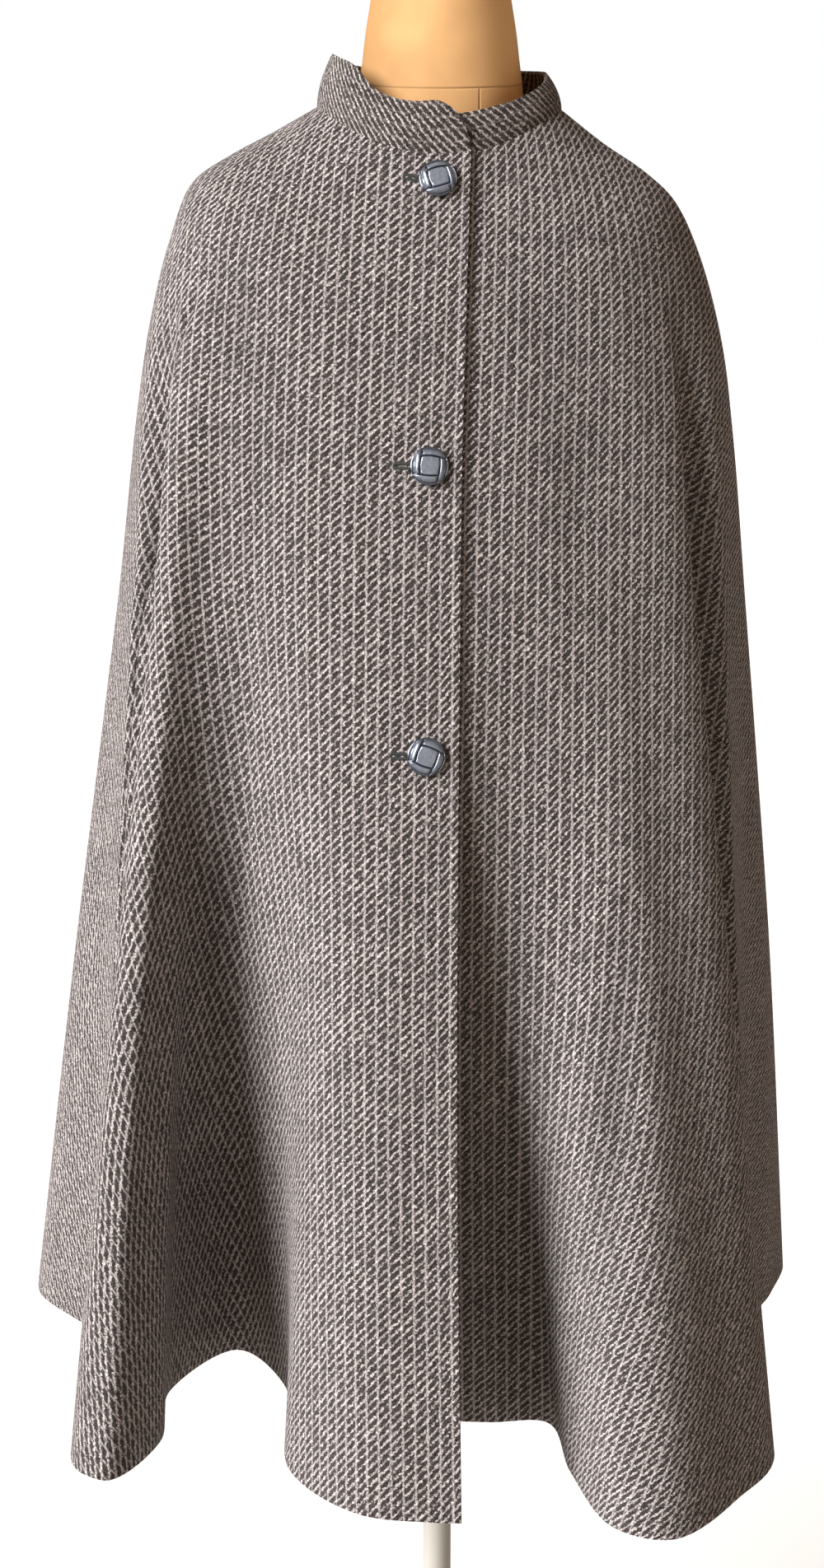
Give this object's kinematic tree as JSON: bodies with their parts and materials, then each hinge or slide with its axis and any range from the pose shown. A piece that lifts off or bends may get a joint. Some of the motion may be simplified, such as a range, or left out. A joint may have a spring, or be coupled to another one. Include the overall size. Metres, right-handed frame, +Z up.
{
  "type": "wool cape coat on a dress form",
  "caption": "Hip-to-knee wool cape with a stand collar and round buttons down the front, draped in deep folds over a limbless dress form on a pole stand.",
  "frame": {"origin": "on the floor, below the middle of the whole part", "axes": "+Z up, -Y the garment's front, +X the wearer's left"},
  "size_m": [0.604, 0.6562, 1.511],
  "materials": {
    "coating_wool": "thick twill of taupe and charcoal wool, napped",
    "button_plastic": "pearly gunmetal blue, glossy",
    "form_cover": "smooth tan cover, satin",
    "stand_paint": "cream powder coat, satin"
  },
  "bodies": {
    "root": {"cape_front_under": "coating_wool", "cape_back": "coating_wool", "cape_front_over": "coating_wool", "collar": "coating_wool", "button_top": "button_plastic", "button_middle": "button_plastic", "button_bottom": "button_plastic", "form_body": "form_cover", "stand_base": "stand_paint", "stand_pole": "stand_paint"}
  },
  "joints": []
}
